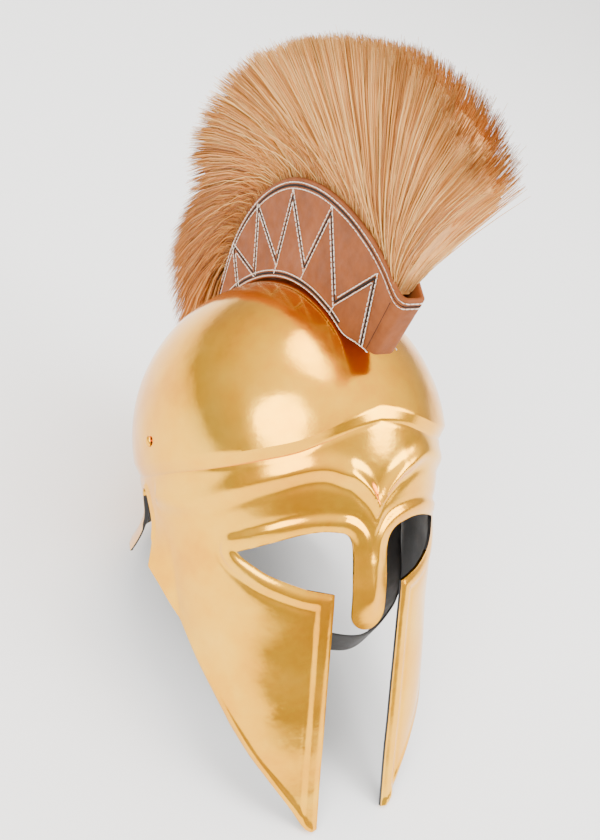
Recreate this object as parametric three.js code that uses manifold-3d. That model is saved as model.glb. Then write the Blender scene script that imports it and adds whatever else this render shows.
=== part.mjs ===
// Italo-corinthian helmet with a horsehair crest, in millimetres.
// It is drawn upright, with the dome's centre at the origin, the face to -Y and the wearer's right to -X.
// At the end the whole helmet is leaned back until its cheek tips and neck rim stand on z = 0.
import * as THREE from 'three';
import { mergeVertices } from 'three/addons/utils/BufferGeometryUtils.js';
import Module from 'manifold-3d';

const wasm = await Module();
wasm.setup();

// Brass shell
const wall = 1.4;
const domeTop = 112;
const halfWidth = 105;
const frontReach = 117;
const backReach = 122;
const ridgePeak = 39;
const ridgeBand = 9;
const cheekDrop = 248;
const neckDrop = 76;
const neckLip = 13;
const cheekGap = 25;
const eyeReach = 77;
const nasalHalf = 12.5;
const nasalDrop = 107;
const browRise = 4;
const browWidth = 6;
const noseRise = 3;
const noseWidth = 7;
const rimRise = 2;
const rimWidth = 9;

// Crest of leather and hair
const crestHalf = 11;
const crestLeather = 2.5;
const crestReach = 141;
const crestTop = 178;
const crestLift = 3;
const hairRadius = 192;
const hairCentreY = -10;
const hairCentreZ = 85;
const hairSpread = 22;
const hairSink = 9;
const lockCount = 26;
const postRadius = 6;

// Chin strap and its rivets
const strapWidth = 22;
const strapThick = 2;
const rivetRise = 10;
const rivetHead = 3.6;
const rivetDome = 1.9;
const rivetShank = 1.6;
const rivetHole = 30;
const gap = 0.3;

const columns = 92;
const nasalSteps = 6;
const brass = { color: 0xd9a441, roughness: 0.22, metalness: 1 };
const leather = { color: 0x8a5a40, roughness: 0.7, metalness: 0 };
const hair = { color: 0xc8a070, roughness: 0.8, metalness: 0 };
const blackLeather = { color: 0x15120f, roughness: 0.6, metalness: 0 };

// Smooth value from a table of rows, each a place and a value, with level ends.
function along(rows, place) {
  const last = rows.length - 1;
  if (place <= rows[0][0]) return rows[0][1];
  if (place >= rows[last][0]) return rows[last][1];
  let i = 1;
  while (rows[i][0] < place) i += 1;
  const [p0, v0] = rows[i - 1];
  const [p1, v1] = rows[i];
  const slope = (a, b) => (rows[b][1] - rows[a][1]) / (rows[b][0] - rows[a][0]);
  const m0 = i > 1 ? slope(i - 2, i) : slope(i - 1, i);
  const m1 = i < last ? slope(i - 1, i + 1) : slope(i - 1, i);
  const t = (place - p0) / (p1 - p0);
  const d = p1 - p0;
  const t2 = t * t;
  const t3 = t2 * t;
  return v0 * (2 * t3 - 3 * t2 + 1) + m0 * d * (t3 - 2 * t2 + t)
    + v1 * (3 * t2 - 2 * t3) + m1 * d * (t3 - t2);
}

// Height of the carination, the ridge that runs round the dome and peaks over the forehead.
// Columns: degrees from the front, share of the peak's height.
const ridgeRows = [
  [0, 1], [10, 0.9], [20, 0.73], [30, 0.56], [43, 0.42], [58, 0.26], [79, 0.03], [112, -0.36], [180, -0.55],
];

function ridgeHeight(turn) {
  return ridgePeak * along(ridgeRows, Math.abs(turn) * 180 / Math.PI);
}

// Level sections of the shell below the ridge.
// Columns: depth over the cheek drop (up is negative), half width, front and back over those of the dome,
// and squareness in front.
const sectionRows = [
  { depth: -0.16, wide: 0.96, front: 0.945, back: 0.965, square: 2.0 },
  { depth: 0.0, wide: 0.965, front: 0.93, back: 0.965, square: 2.05 },
  { depth: 0.1, wide: 0.958, front: 0.895, back: 0.95, square: 2.1 },
  { depth: 0.2, wide: 0.933, front: 0.862, back: 0.915, square: 2.1 },
  { depth: 0.26, wide: 0.92, front: 0.862, back: 0.94, square: 2.15 },
  { depth: 0.325, wide: 0.905, front: 0.862, back: 0.96, square: 2.2 },
  { depth: 0.445, wide: 0.875, front: 0.83, back: 0.96, square: 2.3 },
  { depth: 0.61, wide: 0.845, front: 0.78, back: 0.96, square: 2.6 },
  { depth: 0.74, wide: 0.81, front: 0.745, back: 0.96, square: 2.8 },
  { depth: 0.82, wide: 0.77, front: 0.722, back: 0.96, square: 2.9 },
  { depth: 1.0, wide: 0.69, front: 0.685, back: 0.96, square: 3.0 },
  { depth: 1.12, wide: 0.65, front: 0.66, back: 0.96, square: 3.0 },
];
const columnOf = (name) => sectionRows.map((row) => [row.depth, row[name]]);
const wideRows = columnOf('wide');
const frontRows = columnOf('front');
const backRows = columnOf('back');
const squareRows = columnOf('square');

// Point of a level section: half width, front and back reach, squareness in front, turn from the front.
function sectionPoint(wide, front, back, square, turn) {
  const c = Math.cos(turn);
  const s = Math.sin(turn);
  const power = 2 / (c > 0 ? square : 2);
  const x = wide * Math.sign(s) * Math.abs(s) ** power;
  const y = -(c > 0 ? front : back) * Math.sign(c) * Math.abs(c) ** power;
  return [x, y];
}

function domePoint(turn, tilt, inset) {
  const size = Math.sin(tilt);
  const [x, y] = sectionPoint(
    (halfWidth - inset) * size, (frontReach - inset) * size, (backReach - inset) * size, 2, turn);
  return [x, y, (domeTop - inset) * Math.cos(tilt)];
}

// The neck guard behind the ear flares outward towards its rim.
function neckFlare(turn, z) {
  const behind = Math.max(0, 0.1 - Math.cos(turn));
  const low = Math.min(1, Math.max(0, (-z - 0.55 * neckDrop) / (0.45 * neckDrop)));
  return neckLip * Math.min(1, behind * 4) * low * low;
}

function lowerPoint(turn, z, inset) {
  const depth = -z / cheekDrop;
  const flare = neckFlare(turn, z);
  const wide = halfWidth * along(wideRows, depth) + flare - inset;
  const front = frontReach * along(frontRows, depth) - inset;
  const back = backReach * along(backRows, depth) + flare - inset;
  const [x, y] = sectionPoint(wide, front, back, along(squareRows, depth), turn);
  return [x, y, z];
}

// Outline of one eye and of the gap between the cheeks, seen from the front, for the +X side.
// Columns: share of the eye's reach, share of the cheek drop.
const eyeTop = [
  [0.16, 0.26], [0.165, 0.215], [0.19, 0.182], [0.25, 0.163], [0.34, 0.155], [0.46, 0.151],
  [0.62, 0.158], [0.82, 0.18], [1.0, 0.206],
].map(([u, v]) => [u * eyeReach, -v * cheekDrop]);
const eyeFloor = [
  [0.97, 0.22], [0.83, 0.258], [0.69, 0.281], [0.55, 0.3],
].map(([u, v]) => [u * eyeReach, -v * cheekDrop]);
const cheekCorner = [cheekGap + 1, -0.318 * cheekDrop];
const cheekEnd = [cheekGap + 1.5, -1.2 * cheekDrop];

function nasalEdge() {
  const points = [];
  for (let i = 0; i <= nasalSteps; i += 1) {
    const a = (i / nasalSteps) * Math.PI / 2;
    points.push([nasalHalf * Math.sin(a), -nasalDrop + nasalHalf * (1 - Math.cos(a))]);
  }
  points.push([nasalHalf * 1.02, -0.7 * nasalDrop]);
  return points;
}

const faceHalf = [...nasalEdge(), ...eyeTop, ...eyeFloor, cheekCorner, cheekEnd];
const rimLine = faceHalf.slice(nasalSteps);
const faceOutline = [...faceHalf, ...faceHalf.slice(1).reverse().map(([x, z]) => [-x, z])];

// Lower edge of the shell seen from the side: the neck guard's rim and the arch over the ear.
// Columns: share of the back reach, share of the neck drop.
const neckRows = [
  [1.4, 1], [0.5, 1], [0.37, 1], [0.31, 0.8], [0.24, 0.505], [0.205, 0.375], [0.17, 0.343], [0.14, 0.375],
  [0.11, 0.54], [0.095, 0.785], [0.07, 1.01],
].map(([u, v]) => [u * backReach, -v * neckDrop]);

// Upper rear edge of a cheek piece seen from the side.
// Columns: share of the back reach, share of the cheek drop.
const jawRows = [
  [0.01, 0.352], [-0.1, 0.433], [-0.247, 0.534], [-0.398, 0.638], [-0.45, 0.72],
].map(([u, v]) => [u * backReach, -v * cheekDrop]);
const below = 1.6 * cheekDrop;
const jawEnd = jawRows[jawRows.length - 1][0];
const sideOutline = [...neckRows, ...jawRows, [jawEnd, -below], [neckRows[0][0], -below]];

// Rear edge of a cheek piece down to its rounded tip, seen from the front.
// Columns: share of the half width, share of the cheek drop.
const hemRows = [
  [0.86, 0.48], [0.837, 0.534], [0.772, 0.638], [0.668, 0.75], [0.555, 0.835], [0.419, 0.928],
  [0.362, 0.97], [0.33, 0.991], [0.3, 1.0],
].map(([u, v]) => [u * halfWidth, -v * cheekDrop]);
const beside = 1.4 * halfWidth;
const hemOutline = [
  ...hemRows, [0, -cheekDrop], [0, -below], [beside, -below], [beside, hemRows[0][1]],
];

function segmentDistance(p, a, b) {
  const dx = b[0] - a[0];
  const dz = b[1] - a[1];
  const t = Math.min(1, Math.max(0, ((p[0] - a[0]) * dx + (p[1] - a[1]) * dz) / (dx * dx + dz * dz)));
  return Math.hypot(p[0] - a[0] - t * dx, p[1] - a[1] - t * dz);
}

function edgeDistance(p, line) {
  let best = Infinity;
  for (let i = 1; i < line.length; i += 1) {
    best = Math.min(best, segmentDistance(p, line[i - 1], line[i]));
  }
  return best;
}

// Crest line of the raised brows, which meet in a V above the nose.
// Columns: share of the half width, share of the ridge peak's height.
const browRows = [
  [0, -0.62], [0.06, -0.36], [0.17, -0.08], [0.22, -0.02], [0.33, 0.09], [0.43, 0.08], [0.55, -0.02],
  [0.69, -0.18], [0.83, -0.43], [0.92, -0.69],
];

function bump(value, width) {
  return Math.exp(-((value / width) ** 2));
}

// How far the worked brass stands out of the plain surface at a point in front.
function relief(x, y, z) {
  if (y > 0) return 0;
  const across = Math.abs(x);
  const crest = ridgePeak * along(browRows, across / halfWidth);
  const brow = browRise * bump(z - crest, browWidth) * bump(across, 0.95 * halfWidth);
  const ridge = noseRise * bump(across, noseWidth) * Math.min(1, Math.max(0, -z / (0.35 * nasalDrop)));
  if (z > -0.12 * cheekDrop) return brow + ridge;
  const inward = 1.4 * rimWidth - edgeDistance([across, z], rimLine);
  return brow + ridge + rimRise * Math.min(1, Math.max(0, inward / (0.4 * rimWidth)));
}

function solidOf(geometry) {
  geometry.deleteAttribute('normal');
  geometry.deleteAttribute('uv');
  const merged = mergeVertices(geometry, 1e-4);
  return new wasm.Manifold(new wasm.Mesh({
    numProp: 3,
    vertProperties: new Float32Array(merged.attributes.position.array),
    triVerts: new Uint32Array(merged.index.array),
  }));
}

// Closed body through rings of equal length, with its two ends filled to their middles.
function loft(rings) {
  const count = rings[0].length;
  const points = rings.flat();
  const faces = [];
  for (let r = 1; r < rings.length; r += 1) {
    for (let i = 0; i < count; i += 1) {
      const a = (r - 1) * count + i;
      const b = (r - 1) * count + (i + 1) % count;
      faces.push([a, a + count, b], [b, a + count, b + count]);
    }
  }
  for (const [start, flip] of [[0, false], [(rings.length - 1) * count, true]]) {
    const ring = points.slice(start, start + count);
    const middle = [0, 1, 2].map((k) => ring.reduce((sum, p) => sum + p[k], 0) / count);
    points.push(middle);
    const hub = points.length - 1;
    for (let i = 0; i < count; i += 1) {
      const a = start + i;
      const b = start + (i + 1) % count;
      faces.push(flip ? [hub, b, a] : [hub, a, b]);
    }
  }
  return bodyOf(points, faces);
}

function bodyOf(points, faces) {
  const geometry = new THREE.BufferGeometry();
  geometry.setAttribute('position', new THREE.Float32BufferAttribute(points.flat(), 3));
  geometry.setIndex(faces.flat());
  const body = solidOf(geometry);
  if (body.volume() > 0) return body;
  geometry.setIndex(faces.map(([a, b, c]) => [a, c, b]).flat());
  return solidOf(geometry);
}

// Prism of an outline of pairs: along X its pairs are y and z, along Y they are x and z.
function prism(outline, axis, from, to) {
  const shape = new THREE.Shape(outline.map(([u, v]) => new THREE.Vector2(u, v)));
  const geometry = new THREE.ExtrudeGeometry(shape, { depth: to - from, bevelEnabled: false });
  const basis = new THREE.Matrix4();
  if (axis === 'x') {
    basis.makeBasis(new THREE.Vector3(0, 1, 0), new THREE.Vector3(0, 0, 1), new THREE.Vector3(1, 0, 0));
    basis.setPosition(from, 0, 0);
  } else {
    basis.makeBasis(new THREE.Vector3(1, 0, 0), new THREE.Vector3(0, 0, 1), new THREE.Vector3(0, -1, 0));
    basis.setPosition(0, to, 0);
  }
  geometry.applyMatrix4(basis);
  return solidOf(geometry);
}

function turns(count) {
  return Array.from({ length: count }, (_, i) => (i / count) * 2 * Math.PI);
}

// Outward or inward skin of the shell as a closed body: dome, ridge, band and lower sections.
function skin(inset, domeSteps, lowerSteps, around) {
  const bottom = -1.08 * cheekDrop;
  const rings = [];
  const signed = (turn) => (turn > Math.PI ? turn - 2 * Math.PI : turn);
  for (let k = 1; k <= domeSteps; k += 1) {
    rings.push(turns(around).map((turn) => {
      const edge = Math.acos(ridgeHeight(signed(turn)) / domeTop);
      const tilt = Math.max(0.02, (edge * k) / domeSteps);
      return domePoint(turn, tilt, inset);
    }));
  }
  for (let k = 0; k <= lowerSteps; k += 1) {
    const share = (k / lowerSteps) ** 1.25;
    rings.push(turns(around).map((turn) => {
      const start = ridgeHeight(signed(turn)) - ridgeBand;
      const z = start + (bottom - start) * share;
      const [x, y] = lowerPoint(turn, z, inset);
      const out = inset > 0 ? 0 : relief(x, y, z);
      const far = Math.hypot(x, y);
      return [x + (x / far) * out, y + (y / far) * out, z];
    }));
  }
  return loft(rings);
}

// Brass shell, hammered from one sheet: dome, brows, nasal, cheek pieces and neck guard.
function helmetShell() {
  const outside = skin(0, 9, 24, columns);
  const hollow = skin(wall, 7, 14, Math.round(columns * 0.6));
  const face = prism(faceOutline, 'y', -2 * frontReach, 0);
  const edge = prism(sideOutline, 'x', -1.5 * halfWidth, 1.5 * halfWidth);
  let shell = outside.subtract(hollow).subtract(face).subtract(edge);
  for (const side of [-1, 1]) {
    shell = shell.subtract(prism(hemOutline.map(([x, z]) => [side * x, z]), 'y', -2 * frontReach, 0));
  }
  for (const side of [-1, 1]) shell = shell.subtract(rivetBar(side, rivetShank + gap));
  return shell;
}

// Plain bar along X through the shell where a rivet goes.
function rivetBar(side, radius) {
  const bar = new THREE.CylinderGeometry(radius, radius, rivetHole, 16);
  bar.rotateZ(Math.PI / 2);
  bar.translate(side * halfWidth, 0, rivetRise);
  return solidOf(bar);
}

const rivetWall = halfWidth * Math.sqrt(1 - (rivetRise / domeTop) ** 2);
const strapSeat = rivetWall - wall - strapThick / 2 - 5.7 * gap;

// Rivet: a low round head outside, a shank through shell and strap, and a flat head inside.
function rivet() {
  const under = 2 * gap;
  const inner = -wall - strapThick - 7 * gap;
  const profile = [
    [0, inner - 1], [rivetHead, inner - 1], [rivetHead, inner], [rivetShank, inner], [rivetShank, under],
    [rivetHead, under], [0.94 * rivetHead, under + 0.45 * rivetDome],
    [0.65 * rivetHead, under + 0.85 * rivetDome], [0, under + rivetDome],
  ].map(([r, h]) => new THREE.Vector2(r, h));
  return solidOf(new THREE.LatheGeometry(profile, 16));
}

// Middle line of half the chin strap, from its upper end inside the shell to its lowest point.
// Columns: x over its seat at the rivet, y over the front reach, z over the cheek drop.
const strapRows = [
  [0.987, 0, 0.08], [1, 0, 0.04], [0.998, 0, 0.018], [0.961, 0, -0.035], [0.94, -0.01, -0.12],
  [0.893, -0.05, -0.22], [0.784, -0.16, -0.34], [0.606, -0.36, -0.415], [0.313, -0.61, -0.455],
  [0, -0.71, -0.487],
];

function strapRoute() {
  const half = strapRows.map(([x, y, z]) => new THREE.Vector3(x * strapSeat, y * frontReach, z * cheekDrop));
  const other = half.slice(0, -1).reverse().map((p) => new THREE.Vector3(-p.x, p.y, p.z));
  return new THREE.CatmullRomCurve3([...half, ...other], false, 'centripetal');
}

function chinStrap() {
  const route = strapRoute();
  const steps = 56;
  const head = new THREE.Vector3(0, 0, -0.15 * cheekDrop);
  const rings = [];
  for (let i = 0; i <= steps; i += 1) {
    const p = route.getPointAt(i / steps);
    const way = route.getTangentAt(i / steps);
    const out = p.clone().sub(head);
    out.addScaledVector(way, -out.dot(way)).normalize();
    const side = new THREE.Vector3().crossVectors(way, out);
    rings.push([[1, 1], [-1, 1], [-1, -1], [1, -1]].map(([a, b]) => p.clone()
      .addScaledVector(side, a * strapWidth / 2)
      .addScaledVector(out, b * strapThick / 2).toArray()));
  }
  let strap = loft(rings);
  for (const side of [-1, 1]) strap = strap.subtract(rivetBar(side, rivetShank + gap));
  return strap;
}

// Side outline of the crest box, front to rear: its foot over the dome, as degrees from the dome's top and as
// a multiple of the crest's lift, then its top edge in shares of the crest's reach (y) and top (z), and its
// half width as a share of the full one.
const crestRows = [
  { turn: -57.5, lift: 5.77, topY: -1, topZ: 0.585, wide: 0.62 },
  { turn: -55.5, lift: 5.13, topY: -0.965, topZ: 0.61, wide: 0.9 },
  { turn: -52.0, lift: 3.48, topY: -0.89, topZ: 0.7, wide: 1 },
  { turn: -46.0, lift: 1.16, topY: -0.79, topZ: 0.785, wide: 1 },
  { turn: -35.5, lift: 0.83, topY: -0.62, topZ: 0.885, wide: 1 },
  { turn: -23.0, lift: 0.91, topY: -0.41, topZ: 0.965, wide: 1 },
  { turn: -10.0, lift: 1.04, topY: -0.18, topZ: 1, wide: 1 },
  { turn: 2.5, lift: 1.03, topY: 0.03, topZ: 0.975, wide: 1 },
  { turn: 15.0, lift: 0.96, topY: 0.22, topZ: 0.905, wide: 1 },
  { turn: 26.5, lift: 1.0, topY: 0.39, topZ: 0.79, wide: 1 },
  { turn: 37.5, lift: 0.93, topY: 0.54, topZ: 0.63, wide: 1 },
  { turn: 44.5, lift: 1.05, topY: 0.625, topZ: 0.535, wide: 0.9 },
  { turn: 46.5, lift: 1.06, topY: 0.65, topZ: 0.505, wide: 0.62 },
].map((row) => {
  const turn = THREE.MathUtils.degToRad(row.turn);
  const reach = row.turn < 0 ? frontReach : backReach;
  const dome = 1 / Math.hypot(Math.sin(turn) / reach, Math.cos(turn) / domeTop);
  const radius = dome + row.lift * crestLift;
  return {
    foot: [radius * Math.sin(turn), radius * Math.cos(turn)],
    top: [row.topY * crestReach, row.topZ * crestTop],
    wide: row.wide * crestHalf,
  };
});

// Body between the crest's two sides, from one height share to another, narrowed on each side.
function crestBody(rows, low, high, narrow) {
  return loft(rows.map(({ foot, top, wide }) => {
    const tall = Math.hypot(top[0] - foot[0], top[1] - foot[1]);
    const at = (mm) => [0, 1].map((k) => foot[k] + ((top[k] - foot[k]) * mm) / tall);
    const [ly, lz] = at(low);
    const [hy, hz] = at(high(tall));
    const w = wide - narrow;
    return [[w, ly, lz], [w, hy, hz], [-w, hy, hz], [-w, ly, lz]];
  }));
}

// Space inside the crest's leather, open at the top, with a clearance to the leather.
function crestHollow(clearance) {
  const away = crestLeather + clearance;
  return crestBody(crestRows.slice(1, -1), away, (tall) => tall + 2 * crestLeather, away);
}

function crestBox() {
  return crestBody(crestRows, 0, (tall) => tall, 0).subtract(crestHollow(0));
}

// Reach of the hair from its centre. Columns: degrees above the rear horizon, share of the hair radius.
const hairRows = [
  [-8, 0.76], [4, 0.84], [14, 0.88], [24, 0.84], [36, 0.8], [48, 0.92], [62, 0.95], [90, 0.935],
  [108, 0.965], [122, 1.02], [135, 1.08], [146, 1.12], [153, 1.1],
];
const hairFrom = THREE.MathUtils.degToRad(hairRows[0][0]);
const hairTo = THREE.MathUtils.degToRad(hairRows[hairRows.length - 1][0]);
// Rows of the crest between which the hair is rooted, counted from the front.
const firstRoot = 1.9;
const lastRoot = 9.6;

// Root of the hair near the crest's top edge, from the rear (0) to the front (1), and the way it leaves.
function hairRoot(share) {
  const place = lastRoot + (firstRoot - lastRoot) * share;
  const i = Math.floor(place);
  const t = place - i;
  const mix = (which) => [0, 1].map((k) => crestRows[i][which][k] * (1 - t) + crestRows[i + 1][which][k] * t);
  const top = mix('top');
  const foot = mix('foot');
  const up = new THREE.Vector2(top[0] - foot[0], top[1] - foot[1]).normalize();
  return { root: new THREE.Vector2(...top).addScaledVector(up, -hairSink), up };
}

// One lock of hair: six-sided sections that widen from the crest's mouth and close in a blunt tip.
function lock(index) {
  const share = index / (lockCount - 1);
  const angle = hairFrom + share * (hairTo - hairFrom);
  const ragged = 1 + 0.025 * Math.sin(index * 2.4) + 0.012 * Math.sin(index * 5.1);
  const reach = hairRadius * along(hairRows, THREE.MathUtils.radToDeg(angle)) * ragged;
  const tip = new THREE.Vector2(Math.cos(angle), Math.sin(angle)).multiplyScalar(reach);
  tip.add(new THREE.Vector2(hairCentreY, hairCentreZ));
  const { root, up } = hairRoot(share);
  const bend = root.clone().addScaledVector(up, 0.35 * root.distanceTo(tip));
  const path = new THREE.QuadraticBezierCurve(root, bend, tip);
  const half = 0.625 * hairRadius * (hairTo - hairFrom) / lockCount;
  const stem = crestHalf - crestLeather - 3 * gap;
  const sway = 0.06 * hairSpread * Math.sin(index * 1.9);
  // Columns: place along the lock, breadth share, half thickness, share of the sway.
  const stations = [[0, 0.4, stem - gap, 0], [0.12, 0.5, stem, 0], [0.4, 0.72, 0.7 * hairSpread, 0.5],
    [0.8, 0.86, hairSpread, 1], [0.93, 0.6, 0.8 * hairSpread, 1], [1, 0.16, 0.3 * hairSpread, 1]];
  return loft(stations.map(([t, broad, thick, lean]) => {
    const at = path.getPoint(t);
    const way = path.getTangent(t);
    return [[1, 0], [0.55, 1], [-0.55, 1], [-1, 0], [-0.55, -1], [0.55, -1]].map(([a, b]) => [
      a * thick + sway * lean, at.x - way.y * b * broad * half, at.y + way.x * b * broad * half]);
  }));
}

function plume() {
  const away = crestLeather + 2 * gap;
  const backing = crestBody(crestRows.slice(2, -2), away, (tall) => tall - hairSink / 2, away);
  const locks = Array.from({ length: lockCount }, (_, i) => lock(i));
  const walls = crestBody(crestRows, -gap, (tall) => tall + gap, -gap).subtract(crestHollow(gap));
  return wasm.Manifold.union([backing, ...locks]).subtract(walls);
}

// Plain round post between the dome and the crest's foot, hidden under the box.
function crestPost() {
  const { foot } = crestRows[6];
  const floor = domeTop * Math.sqrt(1 - (foot[0] / frontReach) ** 2);
  const post = new THREE.CylinderGeometry(postRadius, postRadius, crestLift * 4, 20);
  post.rotateX(Math.PI / 2);
  post.translate(0, foot[0], floor);
  const clear = skin(-gap, 9, 4, columns);
  const box = crestBody(crestRows, -gap, (tall) => tall + crestLift, 0);
  return solidOf(post).subtract(clear).subtract(box);
}

function meshOf(name, body, look) {
  const { numProp, vertProperties, triVerts } = body.getMesh();
  const points = new Float32Array((vertProperties.length / numProp) * 3);
  for (let i = 0; i < points.length / 3; i += 1) {
    for (let k = 0; k < 3; k += 1) points[3 * i + k] = vertProperties[numProp * i + k];
  }
  const geometry = new THREE.BufferGeometry();
  geometry.setAttribute('position', new THREE.BufferAttribute(points, 3));
  geometry.setIndex([...triVerts]);
  geometry.computeVertexNormals();
  const mesh = new THREE.Mesh(geometry, new THREE.MeshStandardMaterial(look));
  mesh.name = name;
  return mesh;
}

const upright = new THREE.Group();
const shell = helmetShell();
upright.add(meshOf('helmet_shell', shell, brass));
upright.add(meshOf('crest_box', crestBox(), leather));
upright.add(meshOf('plume', plume(), hair));
upright.add(meshOf('crest_post', crestPost(), brass));
upright.add(meshOf('chin_strap', chinStrap(), blackLeather));
for (const [name, side] of [['rivet_right', -1], ['rivet_left', 1]]) {
  const mesh = meshOf(name, rivet(), brass);
  mesh.rotation.z = side * -Math.PI / 2;
  mesh.position.set(side * rivetWall, 0, rivetRise);
  upright.add(mesh);
}

// Lean back about X until the cheek tips and the back rim are level, then stand it on z = 0.
function leanAngle(body) {
  const { numProp, vertProperties } = body.getMesh();
  let angle = 0;
  for (let round = 0; round < 12; round += 1) {
    let front = Infinity;
    let rear = Infinity;
    let frontY = 0;
    let rearY = 0;
    for (let i = 0; i < vertProperties.length; i += numProp) {
      const y = vertProperties[i + 1];
      const z = vertProperties[i + 2];
      const turnedY = y * Math.cos(angle) + z * Math.sin(angle);
      const turnedZ = z * Math.cos(angle) - y * Math.sin(angle);
      if (y < 0 && turnedZ < front) [front, frontY] = [turnedZ, turnedY];
      if (y > 0 && turnedZ < rear) [rear, rearY] = [turnedZ, turnedY];
    }
    angle += Math.atan2(rear - front, rearY - frontY);
  }
  return angle;
}

const lean = leanAngle(shell);
upright.rotation.x = -lean;
const helmet = new THREE.Group();
helmet.add(upright);
helmet.updateMatrixWorld(true);
const box = new THREE.Box3().setFromObject(helmet, true);
upright.position.set(-(box.min.x + box.max.x) / 2, -(box.min.y + box.max.y) / 2, -box.min.z);
helmet.updateMatrixWorld(true);

export default helmet;
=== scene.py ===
import math

import bpy
import numpy as np
from mathutils import Matrix, Vector


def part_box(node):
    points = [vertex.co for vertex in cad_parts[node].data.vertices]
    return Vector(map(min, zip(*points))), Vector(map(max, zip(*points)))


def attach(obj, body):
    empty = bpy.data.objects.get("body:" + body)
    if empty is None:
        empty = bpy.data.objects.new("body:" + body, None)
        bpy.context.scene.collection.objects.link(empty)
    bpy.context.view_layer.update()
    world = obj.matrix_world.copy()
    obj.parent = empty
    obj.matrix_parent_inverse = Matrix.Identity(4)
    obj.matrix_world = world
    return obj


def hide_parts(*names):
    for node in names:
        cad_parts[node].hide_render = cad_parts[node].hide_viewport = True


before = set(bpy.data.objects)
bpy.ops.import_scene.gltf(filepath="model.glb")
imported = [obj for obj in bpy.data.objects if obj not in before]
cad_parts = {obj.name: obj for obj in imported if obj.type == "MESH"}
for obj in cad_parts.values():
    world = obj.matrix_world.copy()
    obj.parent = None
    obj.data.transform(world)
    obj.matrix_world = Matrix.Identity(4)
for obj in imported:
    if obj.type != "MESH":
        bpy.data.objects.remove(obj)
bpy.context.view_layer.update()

# Stance and camera
# The helmet lies leaned back on its cheek tips and the neck guard's rim. Every piece is drawn upright, in
# millimetres from the dome's centre with the face to -Y, and laid() puts it where the helmet lies.
lean = math.radians(40.1)
rivet_rise = 10.0
metre = 1000.0
rivet_low, rivet_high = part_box("rivet_right")
rivet_y = metre * (rivet_low.y + rivet_high.y) / 2
rivet_z = metre * (rivet_low.z + rivet_high.z) / 2
lean_turn = Matrix.Rotation(-lean, 3, "X")
stand = Vector((0, rivet_y, rivet_z)) - lean_turn @ Vector((0, 0, rivet_rise))


def laid(points):
    turned = np.asarray(points, float) @ np.array(lean_turn).T
    return (turned + np.array(stand)) / metre


camera_azimuth = math.radians(-32)
camera_rise = math.radians(10)
camera_distance = 700.0
camera_lens = 42.857
camera_sensor = 36
aim_right = 8.8
aim_up = 14.2
back = Vector((
    math.sin(camera_azimuth) * math.cos(camera_rise),
    -math.cos(camera_azimuth) * math.cos(camera_rise),
    math.sin(camera_rise)))
right = Vector((math.cos(camera_azimuth), math.sin(camera_azimuth), 0))
aim = right * aim_right + Vector((0, 0, aim_up))
camera = bpy.data.objects.new("camera", bpy.data.cameras.new("camera"))
bpy.context.scene.collection.objects.link(camera)
camera.data.lens = camera_lens
camera.data.sensor_width = camera_sensor
camera.location = laid([aim + back * camera_distance])[0]
axes = Matrix((right, back.cross(right), back)).transposed()
camera.rotation_mode = "QUATERNION"
camera.rotation_quaternion = (lean_turn @ axes).to_quaternion()
bpy.context.scene.camera = camera

# Helmet shell
# The dome, brows, nasal, cheek pieces and neck guard are one brass sheet of 1.4 mm, raised with the hammer,
# worked in relief from behind, polished outside and blackened inside.
wall = 1.4
dome_top = 112.0
half_width = 105.0
front_reach = 117.0
back_reach = 122.0
ridge_peak = 39.0
ridge_band = 9.0
cheek_drop = 248.0
neck_drop = 76.0
neck_lip = 13.0
lip_start = 0.55
lip_run = 0.45
cheek_gap = 25.0
eye_reach = 77.0
nasal_half = 12.5
nasal_drop = 107.0
shell_columns = 390
dome_rings = 66
band_rings = 6
lower_rings = 160
even_share = 0.62
face_share = 0.38
ring_growth = 1.12
skirt_reach = 1.08
hollow_detail = 0.55

# Columns: degrees from the front, share of the ridge's peak.
ridge_rows = [
    (0, 1), (10, 0.9), (20, 0.73), (30, 0.56), (43, 0.42), (58, 0.26), (79, 0.03), (112, -0.36), (180, -0.55)]
# Columns: depth over the cheek drop, half width, front and back over the dome's, squareness in front.
section_rows = [
    (-0.16, 0.96, 0.945, 0.965, 2.0), (0.0, 0.965, 0.93, 0.965, 2.05), (0.1, 0.958, 0.895, 0.95, 2.1),
    (0.2, 0.933, 0.862, 0.915, 2.1), (0.26, 0.92, 0.862, 0.94, 2.15), (0.325, 0.905, 0.862, 0.96, 2.2),
    (0.445, 0.875, 0.83, 0.96, 2.3), (0.61, 0.845, 0.78, 0.96, 2.6), (0.74, 0.81, 0.745, 0.96, 2.8),
    (0.82, 0.77, 0.722, 0.96, 2.9), (1.0, 0.69, 0.685, 0.96, 3.0), (1.12, 0.65, 0.66, 0.96, 3.0)]
# Columns: share of the half width, share of the ridge's peak: the crest line of the upper brows.
brow_rows = [
    (0, -0.62), (0.06, -0.36), (0.17, -0.08), (0.22, -0.02), (0.33, 0.09), (0.43, 0.08), (0.55, -0.02),
    (0.69, -0.18), (0.83, -0.43), (0.92, -0.69)]
# Columns: share of the eye's reach, share of the cheek drop.
eye_top = [
    (0.165, 0.215), (0.19, 0.182), (0.25, 0.163), (0.34, 0.155), (0.46, 0.151), (0.62, 0.158), (0.82, 0.18),
    (1.0, 0.206)]
eye_floor = [(1.0, 0.206), (0.97, 0.22), (0.83, 0.258), (0.69, 0.281), (0.55, 0.3)]
# Columns: share of the back reach, share of the neck drop: the neck guard's rim and the arch over the ear.
neck_rows = [(1.4, 1), (0.5, 1), (0.37, 1)]
arch_rows = [
    (0.37, 1), (0.31, 0.8), (0.24, 0.505), (0.205, 0.375), (0.17, 0.343), (0.14, 0.375), (0.11, 0.54),
    (0.095, 0.785), (0.07, 1.01)]
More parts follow.
